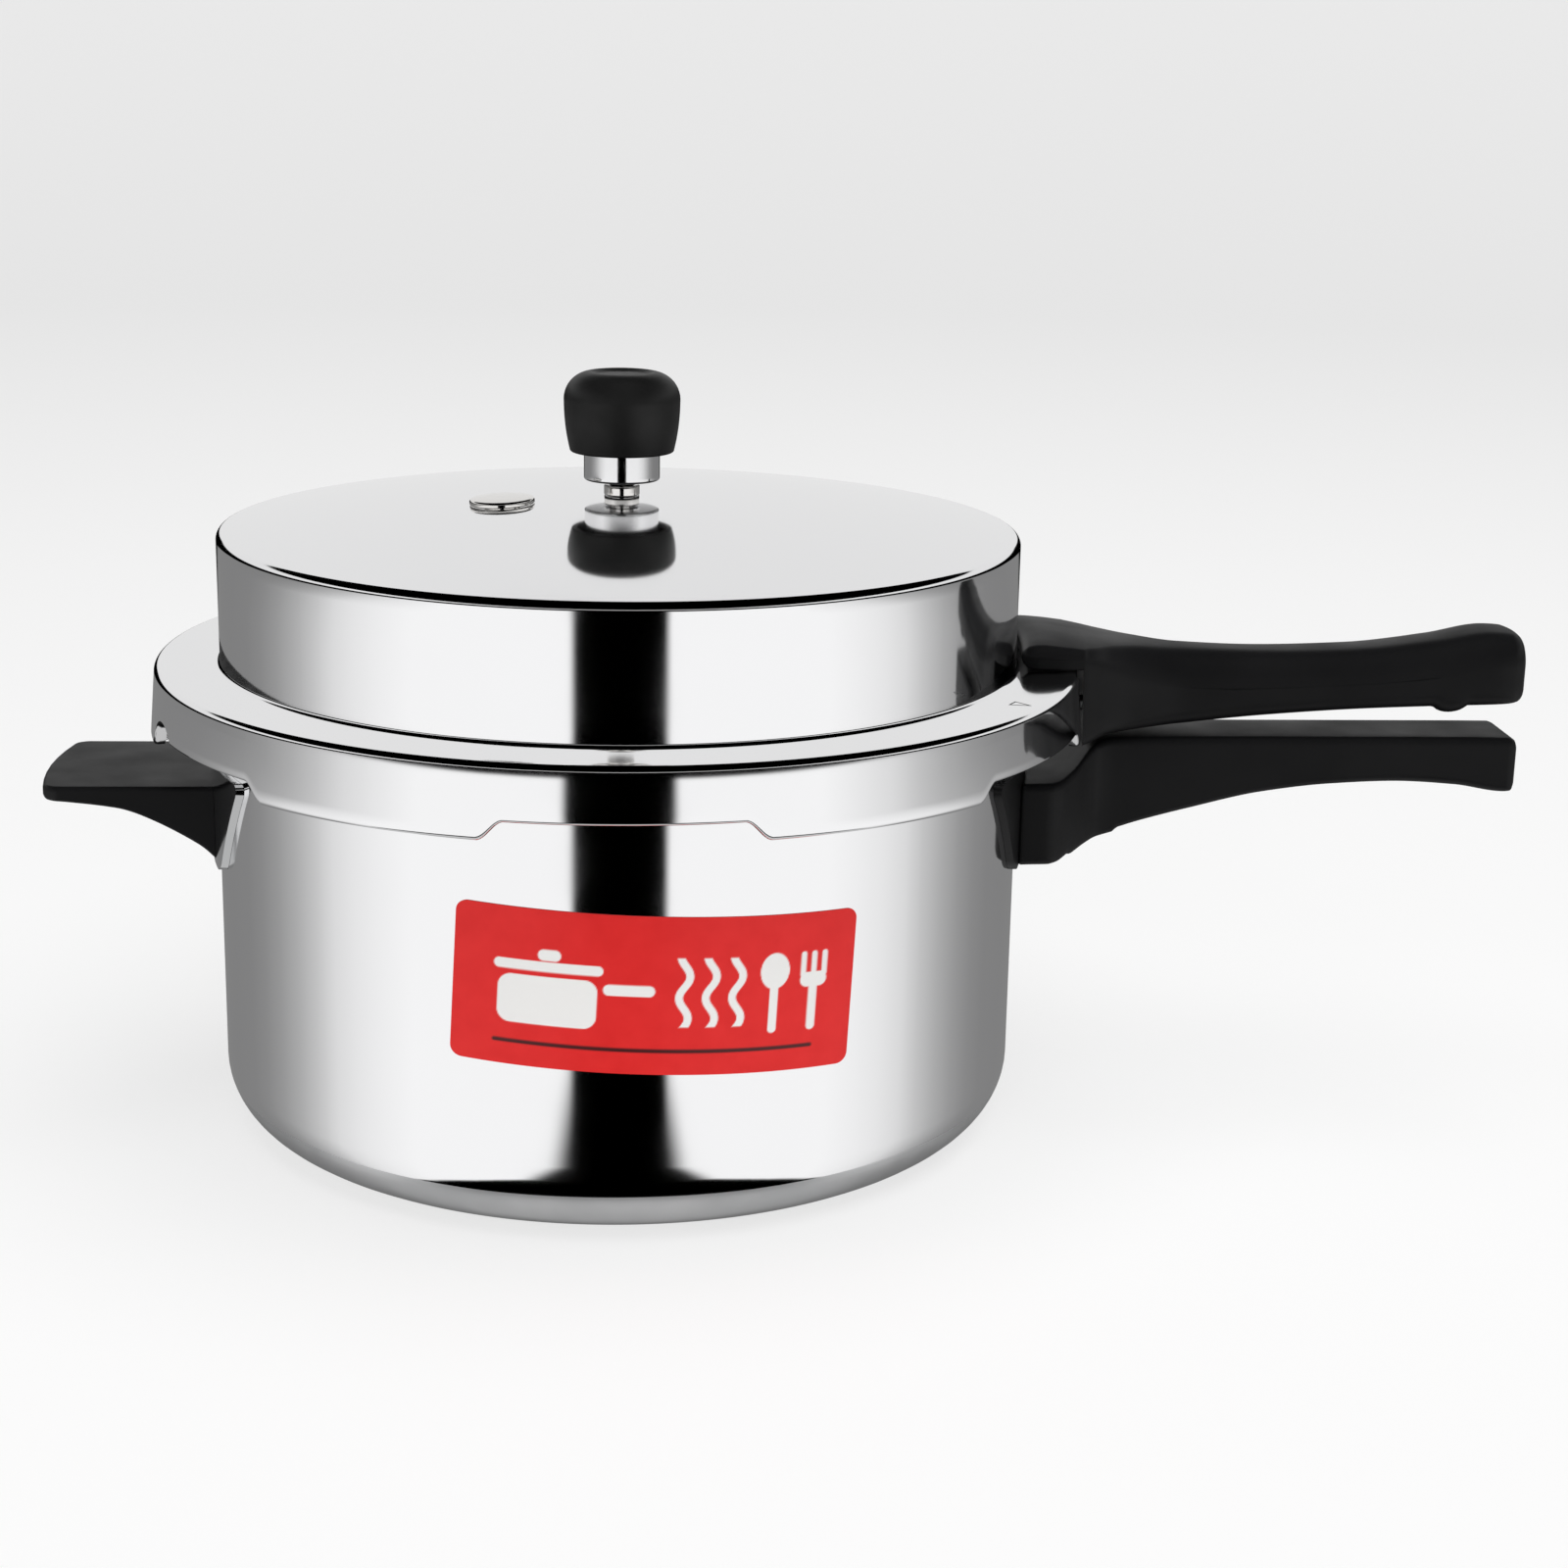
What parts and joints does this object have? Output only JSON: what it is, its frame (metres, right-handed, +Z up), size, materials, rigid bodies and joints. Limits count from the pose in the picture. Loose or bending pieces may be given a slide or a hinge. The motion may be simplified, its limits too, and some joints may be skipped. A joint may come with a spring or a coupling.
{
  "type": "stovetop pressure cooker",
  "caption": "Round stovetop pressure cooker with an outer locking lid, paired long handles, a short helper handle and a regulator weight on a centre vent.",
  "frame": {"origin": "centre of the flat base, on the surface the cooker stands on", "axes": "+Z up along the vessel's axis, +X towards the tips of the long handles, the label faces -Y"},
  "size_m": [0.4334, 0.2688, 0.217],
  "materials": {
    "vessel_aluminium": "spun aluminium, mirror polished outside, satin machined base",
    "lid_aluminium": "pressed aluminium, mirror polished",
    "bracket_aluminium": "pressed aluminium strip, polished",
    "rivet_aluminium": "headed aluminium",
    "handle_phenolic": "compression-moulded black phenolic, satin",
    "knob_phenolic": "compression-moulded black phenolic, satin",
    "plated_steel": "zinc-plated steel",
    "vent_metal": "turned and nickel plated",
    "plug_metal": "turned and nickel plated",
    "weight_steel": "turned stainless steel",
    "fusible_alloy": "cast low-melting alloy",
    "ring_rubber": "moulded nitrile rubber",
    "label_film": "printed gloss film"
  },
  "bodies": {
    "pot": {"pot_body": "vessel_aluminium", "body_bracket": "bracket_aluminium", "body_bracket_rivets": "rivet_aluminium", "body_handle": "handle_phenolic", "body_handle_screw": "plated_steel", "body_handle_washer": "plated_steel", "helper_bracket": "bracket_aluminium", "helper_bracket_rivets": "rivet_aluminium", "helper_handle": "handle_phenolic", "helper_handle_screw": "plated_steel", "helper_handle_washer": "plated_steel", "label": "label_film"},
    "sealing_ring": {"gasket": "ring_rubber"},
    "lid": {"lid": "lid_aluminium", "vent_tube": "vent_metal", "vent_washer": "plated_steel", "vent_nut": "vent_metal", "safety_plug": "plug_metal", "fusible_slug": "fusible_alloy", "safety_plug_nut": "vent_metal", "lid_bracket": "bracket_aluminium", "lid_bracket_rivets": "rivet_aluminium", "lid_handle": "handle_phenolic", "lid_handle_screw": "plated_steel", "lid_handle_washer": "plated_steel"},
    "weight": {"weight_body": "weight_steel", "weight_clip": "plated_steel", "weight_needle": "vent_metal", "weight_knob": "knob_phenolic"}
  },
  "joints": [
    {"name": "lid_lift", "type": "slide", "parent": "pot", "child": "sealing_ring", "axis": [0, 0, 1], "range_m": [0, 0.12]},
    {"name": "lid_turn", "type": "hinge", "parent": "sealing_ring", "child": "lid", "pos_m": [0, 0, 0.1355], "axis": [0, 0, 1], "range_deg": [0, 30]},
    {"name": "weight_lift", "type": "slide", "parent": "lid", "child": "weight", "axis": [0, 0, 1], "range_m": [0, 0.03]}
  ]
}
